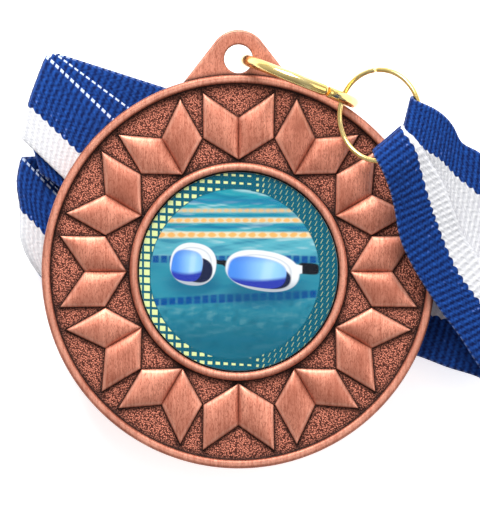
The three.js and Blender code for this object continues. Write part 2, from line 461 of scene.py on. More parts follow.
def disc_profile():
    """The turned profile from the seat's middle, over collar, field and rim, to the back's middle."""
    rim_in = DISC_R - RIM_WIDTH
    rim_r = RIM_WIDTH / 2
    collar_r = (COLLAR_OUT_R - COLLAR_IN_R) / 2
    points = [(r, SEAT_Z) for r in (0.0, 6.0, 12.0, COLLAR_IN_R - 0.1)]
    points += [(COLLAR_IN_R, SEAT_Z + 0.1)]
    points += round_arc(COLLAR_CREST_R, COLLAR_TOP_Z - collar_r * 0.8, collar_r, 180, 0, 9)
    points += [(COLLAR_OUT_R + 0.03, FIELD_Z + 0.1), (COLLAR_OUT_R + 0.12, FIELD_Z)]
    points += [(r, FIELD_Z) for r in np.arange(COLLAR_OUT_R + 0.22, rim_in - 0.2, 0.14)]
    points += [(rim_in - 0.12, FIELD_Z), (rim_in - 0.02, FIELD_Z + 0.12)]
    points += round_arc(DISC_R - rim_r, RIM_TOP_Z - rim_r * 0.8, rim_r, 180, 0, 10)
    points += [(DISC_R, z) for z in np.linspace(RIM_TOP_Z - 0.9, BACK_Z + 0.4, 5)]
    points += round_arc(DISC_R - 0.35, BACK_Z + 0.35, 0.35, -10, -90, 4)
    points += [(r, BACK_Z) for r in (23.5, 18.0, 12.0, 6.0, 0.0)]
    return np.array(points)


def disc_mesh():
    """The disc without its petals, with painted shade in its corners and on its rim's flanks, and its
    crests painted bright as wear and highlight, as attributes.
    """
    turns = 720
    profile = disc_profile()
    radii, heights = profile[:, 0], profile[:, 1]
    heights = np.where((radii > COLLAR_IN_R) & (heights > RIM_TOP_Z), RIM_TOP_Z, heights)
    angles = np.linspace(0, 2 * math.pi, turns, endpoint=False)
    x = radii[:, None] * np.cos(angles)
    y = radii[:, None] * np.sin(angles)
    z = np.repeat(heights[:, None], turns, axis=1)
    points = np.stack([x, y, z], axis=-1).reshape(-1, 3)
    obj = mesh_object("medal_disc", points, grid_faces(len(profile), turns, wrap=True))
    flat, level = points[:, :2], points[:, 2]
    radius = np.linalg.norm(flat, axis=1)
    near = np.full(len(points), 1e9)
    for corners in all_petals():
        distance, inside = edge_distance(flat, corners)
        near = np.minimum(near, np.where(inside, 0.0, distance))
    # Painted shade lies beside the petals and the walls, on the walls themselves and in the seat
    wall = np.minimum(DISC_R - RIM_WIDTH - radius, radius - COLLAR_OUT_R)
    on_field = (np.abs(level - FIELD_Z) < 0.11) & (wall > -0.05)
    painted_shade = np.exp(-near / 0.35) * 0.9 + np.exp(-np.maximum(wall, 0) / 0.45) * 0.9
    in_wall = (level > FIELD_Z + 0.05) & (level < RIM_TOP_Z - 0.42) & (radius < DISC_R - 0.9)
    painted_shade = np.where(on_field, painted_shade, np.where(in_wall, 1.0, 0.0))
    bottom = (radius < COLLAR_IN_R + 0.05) & (level > BACK_Z + 0.5)
    painted_shade = np.where(bottom, 0.8, painted_shade)
    # Painted shade makes the rim's two flanks a little darker than its crest
    on_rim = radius > DISC_R - RIM_WIDTH
    flank = np.clip((np.abs(radius - RIM_CREST_R) - 0.16) / 0.36, 0, 1) * (level > RIM_TOP_Z - 0.6)
    painted_shade = np.where(on_rim & (painted_shade < 0.9), np.maximum(painted_shade, 0.46 * flank), painted_shade)
    add_values(obj, "painted_shade", np.clip(painted_shade, 0, 1))
    add_values(obj, "relief", np.where(on_field, 0.0, 0.9))
    # Painted highlight, partly wear, along the rim's crest and the collar's crest
    rim_top = on_rim & (level > RIM_TOP_Z - 1)
    from_crest = np.where(rim_top, np.abs(radius - RIM_CREST_R), np.abs(radius - COLLAR_CREST_R))
    crest = np.exp(-((from_crest / 0.20) ** 2)) * (level > 0)
    add_values(obj, "wear_and_highlight", crest)
    return obj


def petal_mesh(corners, index):
    """One pillowed petal with a bevelled edge: rows and columns run along its two pairs of sides."""
    # Rows are closer near the outline, where the bevel is
    s = np.array([0, 0.02, 0.055] + list(np.linspace(0.12, 0.88, 8)) + [0.945, 0.98, 1.0])
    a, b, c, d = corners
    u, v = np.meshgrid(s, s, indexing="ij")
    flat = (
        a * ((1 - u) * (1 - v))[..., None]
        + b * (u * (1 - v))[..., None]
        + c * (u * v)[..., None]
        + d * ((1 - u) * v)[..., None]
    )
    side_gap = np.minimum(np.minimum(u, 1 - u), np.minimum(v, 1 - v))
    crown = PETAL_CROWN * (1 - np.abs(2 * u - 1) ** 3) * (1 - np.abs(2 * v - 1) ** 3)
    edge = np.clip(side_gap / 0.055, 0, 1)
    # A pair meets in a valley on its axis
    valley = 0.22 * np.exp(-u / 0.09)
    top = PETAL_EDGE_Z - 0.10 * (1 - edge) ** 2 + crown - valley
    grid = np.concatenate([flat, top[..., None]], axis=-1).reshape(-1, 3)
    rows = len(s)
    faces = grid_faces(rows, rows)
    ring = [r * rows for r in range(rows)]
    ring += [(rows - 1) * rows + k for k in range(1, rows)]
    ring += [r * rows + rows - 1 for r in range(rows - 2, -1, -1)]
    ring += list(range(rows - 2, 0, -1))
    centre = grid.mean(axis=0)
    skirt = []
    for k in ring:
        out = grid[k, :2] - centre[:2]
        foot = grid[k, :2] + out / np.linalg.norm(out) * 0.07
        skirt.append((*foot, FIELD_Z - 0.06))
    base = len(grid)
    for k in range(len(ring)):
        j = (k + 1) % len(ring)
        faces.append((ring[k], base + k, base + j, ring[j]))
    faces.append(tuple(base + k for k in range(len(ring))))
    verts = np.vstack([grid, np.array(skirt)])
    obj = mesh_object(f"petal_{index}", verts, faces)
    outline = np.minimum(1 - u, np.minimum(v, 1 - v))
    # Painted shade along the petal's outline and in the pair's valley
    shade = np.maximum(0.35 * np.clip(1 - outline / 0.02, 0, 1), 0.42 * np.exp(-u / 0.05))
    # A painted highlight, partly wear, just inside the outline
    rubbed_and_lit = np.exp(-(((outline - 0.04) / 0.03) ** 2)) * np.clip(u / 0.06, 0, 1)
    add_values(obj, "painted_shade", np.concatenate([shade.reshape(-1), np.ones(len(skirt))]))
    add_values(obj, "wear_and_highlight", np.concatenate([rubbed_and_lit.reshape(-1), np.zeros(len(skirt))]))
    add_values(obj, "relief", np.concatenate([np.ones(len(grid)), np.full(len(skirt), 0.4)]))
    turn_faces_out(obj)
    return obj


def tab_outline():
    """The lug's outline as a closed ring: foot, arc over the hole, foot, and the root inside the rim."""
    foot_x, foot_y = TAB_FOOT
    to_hole = math.hypot(foot_x, TAB_HOLE_Y - foot_y)
    tangent = math.atan2(foot_y - TAB_HOLE_Y, foot_x) + math.acos(TAB_OUTER_R / to_hole)
    arc = np.linspace(tangent, math.pi - tangent, 60)
    points = [(foot_x, foot_y)]
    points += [(TAB_OUTER_R * math.cos(a), TAB_HOLE_Y + TAB_OUTER_R * math.sin(a)) for a in arc]
    points += [(-foot_x, foot_y)]
    root = np.linspace(math.atan2(foot_y, -foot_x), math.atan2(foot_y, foot_x), 40)[1:-1]
    points += [((DISC_R - 0.8) * math.cos(a), (DISC_R - 0.8) * math.sin(a)) for a in root]
    return np.array(points)


def reach(outline, centre, angles):
    """How far the outline is from the centre at each angle."""
    offset = outline - centre
    start, end = offset, np.roll(offset, -1, axis=0)
    far = []
    for angle in angles:
        ray = np.array([math.cos(angle), math.sin(angle)])
        side_a = start @ (-ray[1], ray[0])
        side_b = end @ (-ray[1], ray[0])
        crosses = (side_a * side_b <= 0) & (side_a != side_b)
        t = side_a[crosses] / (side_a - side_b)[crosses]
        hits = (start[crosses] * (1 - t[:, None]) + end[crosses] * t[:, None]) @ ray
        far.append(hits.max())
    return np.array(far)


def tab_mesh():
    """The lug as a closed band of rings that run from the hole to the outline, with rounded edges."""
    turns = 360
    centre = np.array([0.0, TAB_HOLE_Y])
    angles = np.linspace(0, 2 * math.pi, turns, endpoint=False)
    outer = reach(tab_outline(), centre, angles)
    bevel, hole_bevel = 0.28, 0.22
    # Each ring's share of the way from the hole to the outline, its shift outwards and its height
    profile = [(0, 0.0, BACK_Z + 0.15), (0, 0.15, BACK_Z)]
    profile += [(share, 0.0, BACK_Z) for share in (0.3, 0.6)]
    profile += [(1, -0.15, BACK_Z), (1, 0.0, BACK_Z + 0.15)]
    profile += [(1, 0.0, z) for z in (BACK_Z + 0.8, TAB_TOP_Z - 0.8, TAB_TOP_Z - bevel)]
    for lift in np.radians((20, 45, 70, 90)):
        profile.append((1, -bevel * (1 - math.cos(lift)), TAB_TOP_Z - bevel * (1 - math.sin(lift))))
    profile += [(share, 0.0, TAB_TOP_Z) for share in np.linspace(0.88, 0.14, 16)]
    for lift in np.radians((90, 65, 40, 15, 0)):
        inset = hole_bevel * (1 - math.cos(lift))
        profile.append((0, inset, TAB_TOP_Z - hole_bevel * (1 - math.sin(lift))))
    profile += [(0, 0.0, z) for z in (TAB_TOP_Z - 0.8, BACK_Z + 0.8)]
    rows = []
    for share, shift, z in profile:
        radius = TAB_HOLE_R + (outer - TAB_HOLE_R) * share + shift
        x, y = radius * np.cos(angles), TAB_HOLE_Y + radius * np.sin(angles)
        rows.append(np.stack([x, y, np.full(turns, z)], -1))
    count = len(rows)
    faces = []
    for r in range(count):
        here, above = r * turns, (r + 1) % count * turns
        for c in range(turns):
            d = (c + 1) % turns
            faces.append((here + c, here + d, above + d, above + c))
    points = np.vstack(rows)
    obj = mesh_object("tab", points, faces)
    turn_faces_out(obj)
    obj.data.set_sharp_from_angle(angle=math.radians(40))
    radius = np.linalg.norm(points[:, :2], axis=1)
    to_hole = np.linalg.norm(points[:, :2] - centre, axis=1)
    # Painted shade where the lug meets the rim, in and round its hole, and along its outline
    painted_shade = np.exp(-np.maximum(radius - DISC_R, 0) / 0.30) * 0.95
    in_hole = (to_hole < TAB_HOLE_R + 0.02) & (points[:, 2] < TAB_TOP_Z - hole_bevel - 0.02)
    lip = 0.5 * np.exp(-np.maximum(to_hole - TAB_HOLE_R, 0) / 0.12)
    painted_shade = np.maximum(painted_shade, np.where(in_hole, 0.6, lip))
    to_edge = np.tile(outer, count) - to_hole
    painted_shade = np.maximum(painted_shade, 0.45 * np.exp(-np.maximum(to_edge, 0) / 0.10))
    # A painted highlight, partly wear, along the top just inside the outline
    on_top = (points[:, 2] > TAB_TOP_Z - 0.2) & (radius > DISC_R + 0.6)
    rubbed_and_lit = np.exp(-(((to_edge - 0.30) / 0.14) ** 2)) * on_top
    add_values(obj, "painted_shade", painted_shade)
    add_values(obj, "relief", np.ones(len(points)))
    add_values(obj, "wear_and_highlight", rubbed_and_lit)
    return obj


def medal_body(material):
    petals = [petal_mesh(corners, k) for k, corners in enumerate(all_petals())]
    body = join([disc_mesh(), tab_mesh()] + petals, "medal_casting")
    body.data.materials.append(material)
    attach(body, "medal")
    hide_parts("medal_body")


# Printed centre

def smooth_step(value, low, high):
    t = np.clip((value - low) / (high - low), 0, 1)
    return t * t * (3 - 2 * t)


def paint(ink, colour, amount):
    amount = np.clip(amount, 0, 1)[:, None]
    return ink * (1 - amount) + np.array(colour) * amount


def oval(x, y, cx, cy, rx, ry, turn_deg=0.0, power=2.0):
    """About 0 on a rounded oval's edge, in millimetres, and negative inside."""
    c, s = math.cos(math.radians(turn_deg)), math.sin(math.radians(turn_deg))
    dx = (x - cx) * c + (y - cy) * s
    dy = -(x - cx) * s + (y - cy) * c
    size = ((np.abs(dx) / rx) ** power + (np.abs(dy) / ry) ** power) ** (1 / power)
    return (size - 1) * min(rx, ry)


def wavy(x, y, seed, scale, spread=0.30):
    """A smooth repeatable ripple between -1 and 1. spread is how far its crests turn from level."""
    rng = np.random.default_rng(seed)
    total = np.zeros_like(x)
    for octave in range(5):
        for _ in range(5):
            angle = rng.uniform(-spread, spread) + math.pi / 2
            k = scale * 1.6 ** octave * rng.uniform(0.8, 1.2)
            phase = rng.uniform(0, 6.28)
            total += np.sin((x * math.cos(angle) + y * math.sin(angle)) * k + phase) / 1.5 ** octave
    return total / np.abs(total).max()


TEAL = (0.004, 0.115, 0.175)
POOL_TOP = (0.025, 0.350, 0.430)
POOL_PALE = (0.160, 0.500, 0.600)
POOL_MID = (0.030, 0.270, 0.370)
POOL_DEEP = (0.006, 0.130, 0.200)
TILE = (0.002, 0.075, 0.290)
ROPE = (0.930, 0.450, 0.110)
ROPE_PALE = (0.850, 0.720, 0.480)
GLINT = (0.50, 0.72, 0.74)
TROUGH = (0.005, 0.16, 0.30)
FOAM = (0.16, 0.40, 0.45)
DEEP_SHADE = (0.002, 0.09, 0.16)
LANE_SHADE = (0.01, 0.15, 0.36)
FRAME_PALE = (0.86, 0.88, 0.90)
FRAME_GREY = (0.36, 0.40, 0.46)
STRAP = (0.008, 0.010, 0.016)
RUBBER = (0.010, 0.012, 0.016)
LENS_BLUE = (0.030, 0.050, 0.420)
LENS_SKY = (0.075, 0.270, 0.800)
LENS_PALE = (0.330, 0.640, 0.960)


def picture_ink(x, y):
    """The picture's colours at points in millimetres from the centre: a pool with ropes and goggles."""
    ink = np.repeat(np.array([TEAL]), len(x), axis=0)
    ripple = wavy(x, y, 4, 1.7)
    fine = wavy(x, y, 9, 4.5)
    mottle = wavy(x, y, 21, 3.2, 1.5)
    wx, wy, wr = WINDOW
    window = wr - np.hypot(x - wx, y - wy)
    water = np.repeat(np.array([POOL_MID]), len(x), axis=0)
    water = paint(water, POOL_TOP, smooth_step(y, 0.5, 4.2))
    water = paint(water, POOL_PALE, smooth_step(2.6 - np.abs(y - 3.2), -0.5, 2.2) * 0.6)
    water = paint(water, POOL_DEEP, smooth_step(-y, 2.5, 9.5) * 0.9)
    upper = smooth_step(y, 1.0, 4.0)
    water = paint(water, GLINT, smooth_step(ripple + fine, 0.10, 0.9) * (0.03 + 0.65 * upper))
    water = paint(water, TROUGH, smooth_step(-ripple - 0.6 * fine, 0.05, 0.8) * (0.30 + 0.40 * upper))
    below = smooth_step(-y, 2.2, 4.0)
    foam = smooth_step(mottle + 0.5 * fine, 0.05, 0.7) * below * smooth_step(y, -9.5, -4.5)
    water = paint(water, FOAM, foam * 0.45)
    water = paint(water, DEEP_SHADE, smooth_step(-mottle, 0.05, 0.7) * below * 0.35)
    # Dark lanes, beaded ropes and the two lines of tiles, each by its height and half its thickness
    for height, half in ((8.9, 0.42), (5.7, 0.22), (7.15, 0.16)):
        line = smooth_step(half - np.abs(y - height - 0.25 * ripple), -0.15, 0.2)
        water = paint(water, LANE_SHADE, line * (0.55 + 0.35 * fine))
    for height, half, strength in ((7.75, 0.26, 0.55), (6.50, 0.31, 0.9), (4.65, 0.38, 1.0)):
        beads = 0.5 + 0.5 * np.cos((x + height) * 2 * math.pi / (half * 3.4) + fine)
        rope = smooth_step(half - np.abs(y - height - 0.06 * ripple), -0.16, 0.16) * strength
        water = paint(water, ROPE_PALE, rope)
        blob = smooth_step(beads - 1.2 * ((y - height) / half) ** 2, -0.15, 0.35)
        water = paint(water, ROPE, rope * blob * 0.9)
    for height, half, slope in ((1.55, 0.48, 0.0), (-3.35, 0.52, 0.05)):
        blocks = smooth_step(0.5 + 0.5 * np.cos(x * 2 * math.pi / 1.05), 0.08, 0.35)
        line = smooth_step(half - np.abs(y - height - slope * x - 0.08 * ripple), -0.10, 0.16)
        water = paint(water, TILE, line * (0.45 + 0.55 * blocks) * (0.95 + 0.2 * fine))
    ink = np.where((window > 0)[:, None], water, ink)
    ink = paint(ink, TEAL, smooth_step(0.16 - np.abs(window + 0.1), 0, 0.16) * 0.8)
    return goggles_ink(ink, x, y)


def goggles_ink(ink, x, y):
    """Plain swim goggles on the water: strap, nose piece and two mirror lenses in pale frames."""
    shadow = np.minimum(oval(x, y, -5.7, -1.5, 3.0, 1.5), oval(x, y, 3.4, -2.6, 4.6, 1.7, 3))
    ink = paint(ink, (0.004, 0.09, 0.20), smooth_step(-shadow, -0.9, 0.6) * 0.6)
    strap = oval(x, y, 8.9, 0.35, 1.4, 0.75, -4, 4)
    inside_window = smooth_step(WINDOW[2] - np.hypot(x - WINDOW[0], y - WINDOW[1]), 0, 0.1)
    ink = paint(ink, STRAP, smooth_step(-strap, -0.05, 0.1) * inside_window)
    nose = oval(x, y, -1.4, 0.9, 1.0, 0.42, -25, 2.2)
    bridge = np.minimum(oval(x, y, -2.3, 1.15, 1.9, 0.30, -10, 2.4), nose)
    ink = paint(ink, RUBBER, smooth_step(-bridge, -0.05, 0.10))
    taper = np.clip((x - 4.5) / 3.6, 0, 1)
    arm = np.minimum(1.75 - 1.25 * taper**0.7 - np.abs(y - 0.25), np.minimum(x - 4.5, 8.1 - x))
    ink = paint(ink, FRAME_PALE, smooth_step(arm, -0.05, 0.1))
    ink = paint(ink, FRAME_GREY, smooth_step(arm, 0, 0.1) * smooth_step(0.1 - y, 0.0, 0.9) * 0.6)
    # Each lens: frame oval, then the mirror oval a little outwards of its middle
    lenses = (
        (-5.75, 0.95, 2.95, 2.70, -8.0, 2.3, -6.55, 0.75, 1.98, 2.02),
        (3.05, 0.10, 4.75, 2.55, -9.0, 2.3, 2.35, -0.10, 3.75, 1.92),
    )
    for cx, cy, rx, ry, turn, power, lx, ly, lrx, lry in lenses:
        rim = oval(x, y, cx, cy, rx, ry, turn, power)
        ink = paint(ink, FRAME_PALE, smooth_step(-rim, -0.05, 0.09))
        groove = smooth_step(-rim, 0.0, 0.2) * smooth_step(np.abs(rim + 0.62), 0.16, 0.0)
        ink = paint(ink, FRAME_GREY, groove * 0.45)
        ink = paint(ink, FRAME_GREY, smooth_step(-rim, 0, 0.1) * smooth_step(-(y - cy), 0.8, 2.6) * 0.8)
        aside = 0.55 * (1 if lx < cx - 0.6 else 0.2)
        socket = oval(x, y, cx + aside, cy - 0.75, rx * 0.66, ry * 0.60, turn, power)
        ink = paint(ink, (0.014, 0.020, 0.060), smooth_step(-socket, -0.04, 0.1))
        glass = oval(x, y, lx, ly, lrx, lry, turn, 2.8)
        body = smooth_step(-glass, -0.04, 0.07)
        ink = paint(ink, LENS_BLUE, body)
        sweep = (x - lx) / lrx
        face = smooth_step(y - ly + 1.05 - 0.35 * sweep**2, -0.25, 0.35)
        sky = np.repeat(np.array([LENS_SKY]), len(x), axis=0)
        sky = paint(sky, LENS_PALE, 0.5 + 0.5 * np.sin(sweep * 2.4 + 0.5))
        band = smooth_step(0.30 - np.abs(sweep - 0.35 - 0.06 * (y - ly)), 0, 0.25)
        sky = paint(sky, (0.55, 0.78, 0.98), band * 0.45)
        sky = paint(sky, (0.08, 0.20, 0.66), smooth_step(y - ly, 0.9, 2.0) * 0.45)
        mixed = (body * face)[:, None]
        ink = ink * (1 - mixed) + sky * mixed
        lit_edge = smooth_step(0.10 - np.abs(glass + 0.02), 0, 0.1) * smooth_step(y - ly, -0.4, 1.0)
        ink = paint(ink, (0.62, 0.70, 0.84), lit_edge * 0.7)
    return ink


def printed_centre(material):
    """The printed disc: a fine grid of points carries the ink, and the edge is a small step down."""
    radius = (PRINT_HIGH[0] - PRINT_LOW[0]) / 2 + PRINT_SPREAD
    rings, turns = 150, 640
    radii = np.linspace(0.0, radius - 0.05, rings)
    angles = np.linspace(0, 2 * math.pi, turns, endpoint=False)
    x = radii[:, None] * np.cos(angles)
    y = radii[:, None] * np.sin(angles)
    top = np.stack([x, y, np.full_like(x, PRINT_HIGH[2])], axis=-1).reshape(-1, 3)
    ink = picture_ink(top[:, 0], top[:, 1])
    edge = [(radius, PRINT_HIGH[2] - 0.05), (radius, PRINT_LOW[2] + 0.05)]
    edge += [(radius - 0.05, PRINT_LOW[2]), (0, PRINT_LOW[2])]
    side = [np.stack([r * np.cos(angles), r * np.sin(angles), np.full(turns, z)], -1) for r, z in edge]
    verts = np.vstack([top] + side)
    obj = mesh_object("centre_print", verts, grid_faces(rings + len(edge), turns, wrap=True))
    colours = np.ones((len(verts), 4), np.float32)
    colours[:, :3] = (0.75, 0.76, 0.76)
    colours[:len(top), :3] = ink
    layer = obj.data.attributes.new("ink", "FLOAT_COLOR", "POINT")
    layer.data.foreach_set("color", colours.ravel())
    turn_faces_out(obj)
    obj.data.materials.append(material)
    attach(obj, "medal")
    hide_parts("printed_insert")


# Rings

def wire_ring(name, centre, axes, mean_r, wire_r, split_at, split_deg):
    """A split ring of round wire. axes are its two in-plane unit vectors and split_at its split's angle."""
    u, v = (Vector(a) for a in axes)
    w = u.cross(v)
    steps, sides = 220, 28
    start = math.radians(split_at + split_deg / 2)
    sweep = math.radians(360 - split_deg)
    verts = []
    end_length = wire_r * 0.35
    for i in range(steps + 1):
        t = i / steps
        angle = start + sweep * t
        radial = u * math.cos(angle) + v * math.sin(angle)
        to_end = min(t, 1 - t) * sweep * mean_r
        past_end = max(1 - to_end / end_length, 0.0)
        shrink = math.sqrt(max(1 - past_end**2 * 0.30, 0.1))
        for k in range(sides):
            a = 2 * math.pi * k / sides
            off = radial * (math.cos(a) * wire_r * shrink) + w * (math.sin(a) * wire_r * shrink)
            verts.append(tuple(Vector(centre) + radial * mean_r + off))
    faces = grid_faces(steps + 1, sides, wrap=True)
    faces.append(tuple(range(sides)))
    faces.append(tuple(steps * sides + k for k in range(sides)))
    obj = mesh_object(name, verts, faces)
    turn_faces_out(obj)
    obj.data.set_sharp_from_angle(angle=math.radians(50))
    return obj


def jump_ring(material):
    centre = (JUMP_LOW + JUMP_HIGH) / 2
    turn = math.radians(JUMP_TURN_DEG)
    mean_r = (JUMP_HIGH[2] - JUMP_LOW[2]) / 2 - JUMP_WIRE_R
    axes = ((math.cos(turn), math.sin(turn), 0), (0, 0, 1))
    obj = wire_ring("jump_ring_wire", centre, axes, mean_r, JUMP_WIRE_R, 60, 3)
    obj.data.materials.append(material)
    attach(obj, "jump_ring")
    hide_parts("jump_ring")


def ribbon_ring(material):
    centre = (LINK_LOW + LINK_HIGH) / 2
    tilt = math.radians(LINK_TILT_DEG)
    mean_r = (LINK_HIGH[1] - LINK_LOW[1]) / 2 - LINK_WIRE_R
    axes = ((math.cos(tilt), 0, math.sin(tilt)), (0, 1, 0))
    obj = wire_ring("ribbon_ring_wire", centre, axes, mean_r, LINK_WIRE_R, 95, 2.2)
    obj.data.materials.append(material)
    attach(obj, "ribbon_ring")
    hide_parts("ribbon_ring")


# Ribbon

def spline(points, steps=24):
    """A smooth curve through the points that doesn't overshoot where they are unevenly spaced."""
    p = np.asarray(points, float)
    p = np.vstack([2 * p[0] - p[1], p, 2 * p[-1] - p[-2]])
    gaps = np.sqrt(np.maximum(np.linalg.norm(np.diff(p, axis=0), axis=1), 1e-6))
    dense = []
    for i in range(1, len(p) - 2):
        before, here, after = gaps[i - 1], gaps[i], gaps[i + 1]
        slope = (p[i + 1] - p[i]) / here
        leave = (p[i] - p[i - 1]) / before - (p[i + 1] - p[i - 1]) / (before + here) + slope
        arrive = slope - (p[i + 2] - p[i]) / (here + after) + (p[i + 2] - p[i + 1]) / after
        for t in np.linspace(0, 1, steps, endpoint=False):
            start_share = 2 * t**3 - 3 * t**2 + 1
            point = start_share * p[i] + (1 - start_share) * p[i + 1]
            point = point + (t**3 - 2 * t**2 + t) * here * leave + (t**3 - t**2) * here * arrive
            dense.append(point)
    return np.array(dense + [p[-2]])


def ribbon_run(name, rails, fine=0.16, ribs=0.055, along_from=0.0, side=0.44):
    """A stretch of ribbon through rails, each given as its place across the strip and its points.

    fine and side are the mesh's pitch along and across, and ribs is the height of the ribs.
    """
    places = np.array([place for place, _ in rails], float)
    curves = np.array([spline(points) for _, points in rails])
    mean = curves.mean(axis=0)
    lengths = np.concatenate([[0], np.cumsum(np.linalg.norm(np.diff(mean, axis=0), axis=1))])
    rows = max(int(lengths[-1] / fine), 8)
    at = np.linspace(0, lengths[-1], rows)
    rail_rows = np.array([[np.interp(at, lengths, c[:, k]) for k in range(3)] for c in curves])
    cols = max(int(abs(places[-1] - places[0]) / side), 6)
    across = np.linspace(places[0], places[-1], cols)
    order = np.argsort(places)
    grid = np.empty((rows, cols, 3))
    for r in range(rows):
        for k in range(3):
            grid[r, :, k] = np.interp(across, places[order], rail_rows[order, k, r])
    # Soften the fold at each inner rail
    for _ in range(2):
        grid[:, 1:-1] = 0.5 * grid[:, 1:-1] + 0.25 * (grid[:, :-2] + grid[:, 2:])
    d_row = np.gradient(grid, axis=0)
    d_col = np.gradient(grid, axis=1)
    normal = np.cross(d_col, d_row)
    normal /= np.linalg.norm(normal, axis=2, keepdims=True) + 1e-12
    along = at + along_from
    rib = ribs * np.abs(np.sin(math.pi * along / ROW_PITCH))[:, None] * np.ones(cols)
    columns = np.sin(2 * math.pi * across / COLUMN_PITCH)[None, :]
    stagger = 0.035 * columns * np.sin(2 * math.pi * along / ROW_PITCH)[:, None]
    lift = RIBBON_THICK / 2 + rib + stagger
    rim = np.minimum(np.abs(across - across[0]), np.abs(across - across[-1]))
    # The strip is thinner at its two selvedges
    edge = np.where(rim < 0.2, 0.6, 1.0)[None, :]
    upper = grid + normal * (lift * edge)[..., None]
    lower = grid - normal * (lift * edge)[..., None]
    verts = np.vstack([upper.reshape(-1, 3), lower.reshape(-1, 3)])
    n = rows * cols
    faces = grid_faces(rows, cols)
    faces += [tuple(n + k for k in reversed(f)) for f in faces]
    border = [(r, 0) for r in range(rows)] + [(rows - 1, c) for c in range(1, cols)]
    border += [(r, cols - 1) for r in range(rows - 2, -1, -1)] + [(0, c) for c in range(cols - 2, 0, -1)]
    ids = [r * cols + c for r, c in border]
    for k in range(len(ids)):
        a, b = ids[k], ids[(k + 1) % len(ids)]
        faces.append((a, b, n + b, n + a))
    obj = mesh_object(name, verts, faces)
    turn_faces_out(obj)
    layer = obj.data.uv_layers.new(name="strip")
    loops = np.empty(len(obj.data.loops), int)
    obj.data.loops.foreach_get("vertex_index", loops)
    loops %= n
    uv = np.stack([across[loops % cols], along[loops // cols]], axis=1)
    layer.data.foreach_set("uv", uv.astype(np.float32).ravel())
    return obj


def out_from(bend, way, far, z):
    return (*(bend + way * far), z)


def folded_end(bend, way, far, level, inner_level):
    """From inside the winding out to its far end, and back over a fold onto the layer's own level."""
    steps = (
        (far - END_TUCK, inner_level),
        (far - END_TUCK * 0.4, inner_level),
        (far - 0.8, inner_level),
        (far, (level + inner_level) / 2),
        (far - 0.8, level),
        (far * 0.5, level),
    )
    return [out_from(bend, way, step, z) for step, z in steps]


def turn_rail(bend, back, front, low_z, high_z, reach_back, reach_front):
    """One rail of a winding: in along the lower layer, round the bend and out along the upper one.

    Both far ends are folded in between the layers.
    """
    middle, half = (low_z + high_z) / 2, (high_z - low_z) / 2
    # How far from the bend, and how far from the middle level as a share of half the winding's height
    turn = ((3.5, 1.0), (1.2, 0.88), (0.30, 0.62))
    points = folded_end(bend, back, reach_back, low_z, low_z + END_GAP)
    points += [out_from(bend, back, far, middle - half * share) for far, share in turn]
    points.append((*bend, middle))
    points += [out_from(bend, front, far, middle + half * share) for far, share in reversed(turn)]
    points += folded_end(bend, front, reach_front, high_z, high_z - END_GAP)[::-1]
    return points


def winding(name, bends, back, front, low_z, high_z, reach_back, reach_front, drop=0.0):
    """Two layers joined by a bend, which is given by points: each its place across, and its x and y.

    back and front are the ways the lower and the upper layer run from the bend.
    """
    back, front = np.array(back), np.array(front)
    curve = spline([(place, *bend) for place, bend in bends])[::8]
    centre = curve[:, 1:].mean(axis=0)
    rails = []
    for place, x, y in curve:
        bend = np.array([x, y])
        sink = drop * max(0.0, (STRIPE_EDGE - place) / (RIBBON_HALF + STRIPE_EDGE)) ** 2
        # The far ends are square to the strip
        far_back = reach_back - (bend - centre) @ back
        far_front = reach_front - (bend - centre) @ front
        rail = turn_rail(bend, back, front, low_z + sink, high_z - sink, far_back, far_front)
        rails.append((place, rail))
    return ribbon_run(name, rails, fine=0.19, ribs=0.035, along_from=TURN_ALONG - reach_back - END_TUCK)


def front_strand():
    """The strand over the ring, from its loop there down to the fold at the right."""
    outer = [
        (17.0, 15.2, 5.6), (17.2, 14.5, 7.4), (18.2, 12.6, 7.7), (19.1, 10.3, 6.7), (19.7, 7.9, 5.5),
        (20.5, 4.0, 4.2), (22.1, 0.6, 3.2), (23.8, -2.2, 2.6), (25.7, -5.1, 2.2), (28.0, -8.2, 1.7),
        (30.4, -11.9, 0.6), (32.4, -14.2, -1.6), (32.6, -14.6, -3.4),
    ]
    edge = [
        (20.7, 18.4, 5.8), (20.9, 17.6, 7.7), (22.3, 15.6, 8.0), (23.0, 13.0, 7.1), (23.9, 9.6, 6.0),
        (24.9, 6.7, 5.0), (26.2, 3.2, 4.0), (27.9, -0.3, 3.3), (30.0, -3.2, 2.8), (32.4, -6.0, 2.2),
        (34.4, -9.2, 1.0), (36.0, -11.2, -1.0), (36.2, -11.8, -3.0),
    ]
    crease = [
        (20.9, 18.6, 5.6), (21.2, 17.8, 7.3), (22.9, 15.9, 7.8), (24.4, 13.4, 7.0), (26.0, 10.9, 5.9),
        (27.3, 7.7, 5.0), (28.5, 4.7, 4.0), (30.3, 2.0, 3.3), (32.3, -1.3, 2.8), (34.4, -4.6, 2.1),
        (36.2, -7.8, 0.9), (37.6, -9.8, -1.0), (37.8, -10.2, -3.0),
    ]
    under = [
        (18.4, 16.2, 4.8), (18.8, 15.6, 6.4), (20.2, 13.2, 6.7), (20.6, 11.0, 5.6), (21.2, 8.6, 4.5),
        (22.2, 5.0, 3.3), (23.8, 1.6, 2.4), (25.4, -1.4, 1.9), (27.4, -4.4, 1.6), (29.8, -7.4, 1.1),
        (32.0, -10.8, 0.0), (33.4, -12.8, -1.8), (33.6, -13.2, -3.4),
    ]
    places = (-RIBBON_HALF, -STRIPE_EDGE, 0, RIBBON_HALF)
    return ribbon_run("strand_front", list(zip(places, (outer, edge, crease, under))), side=0.28)


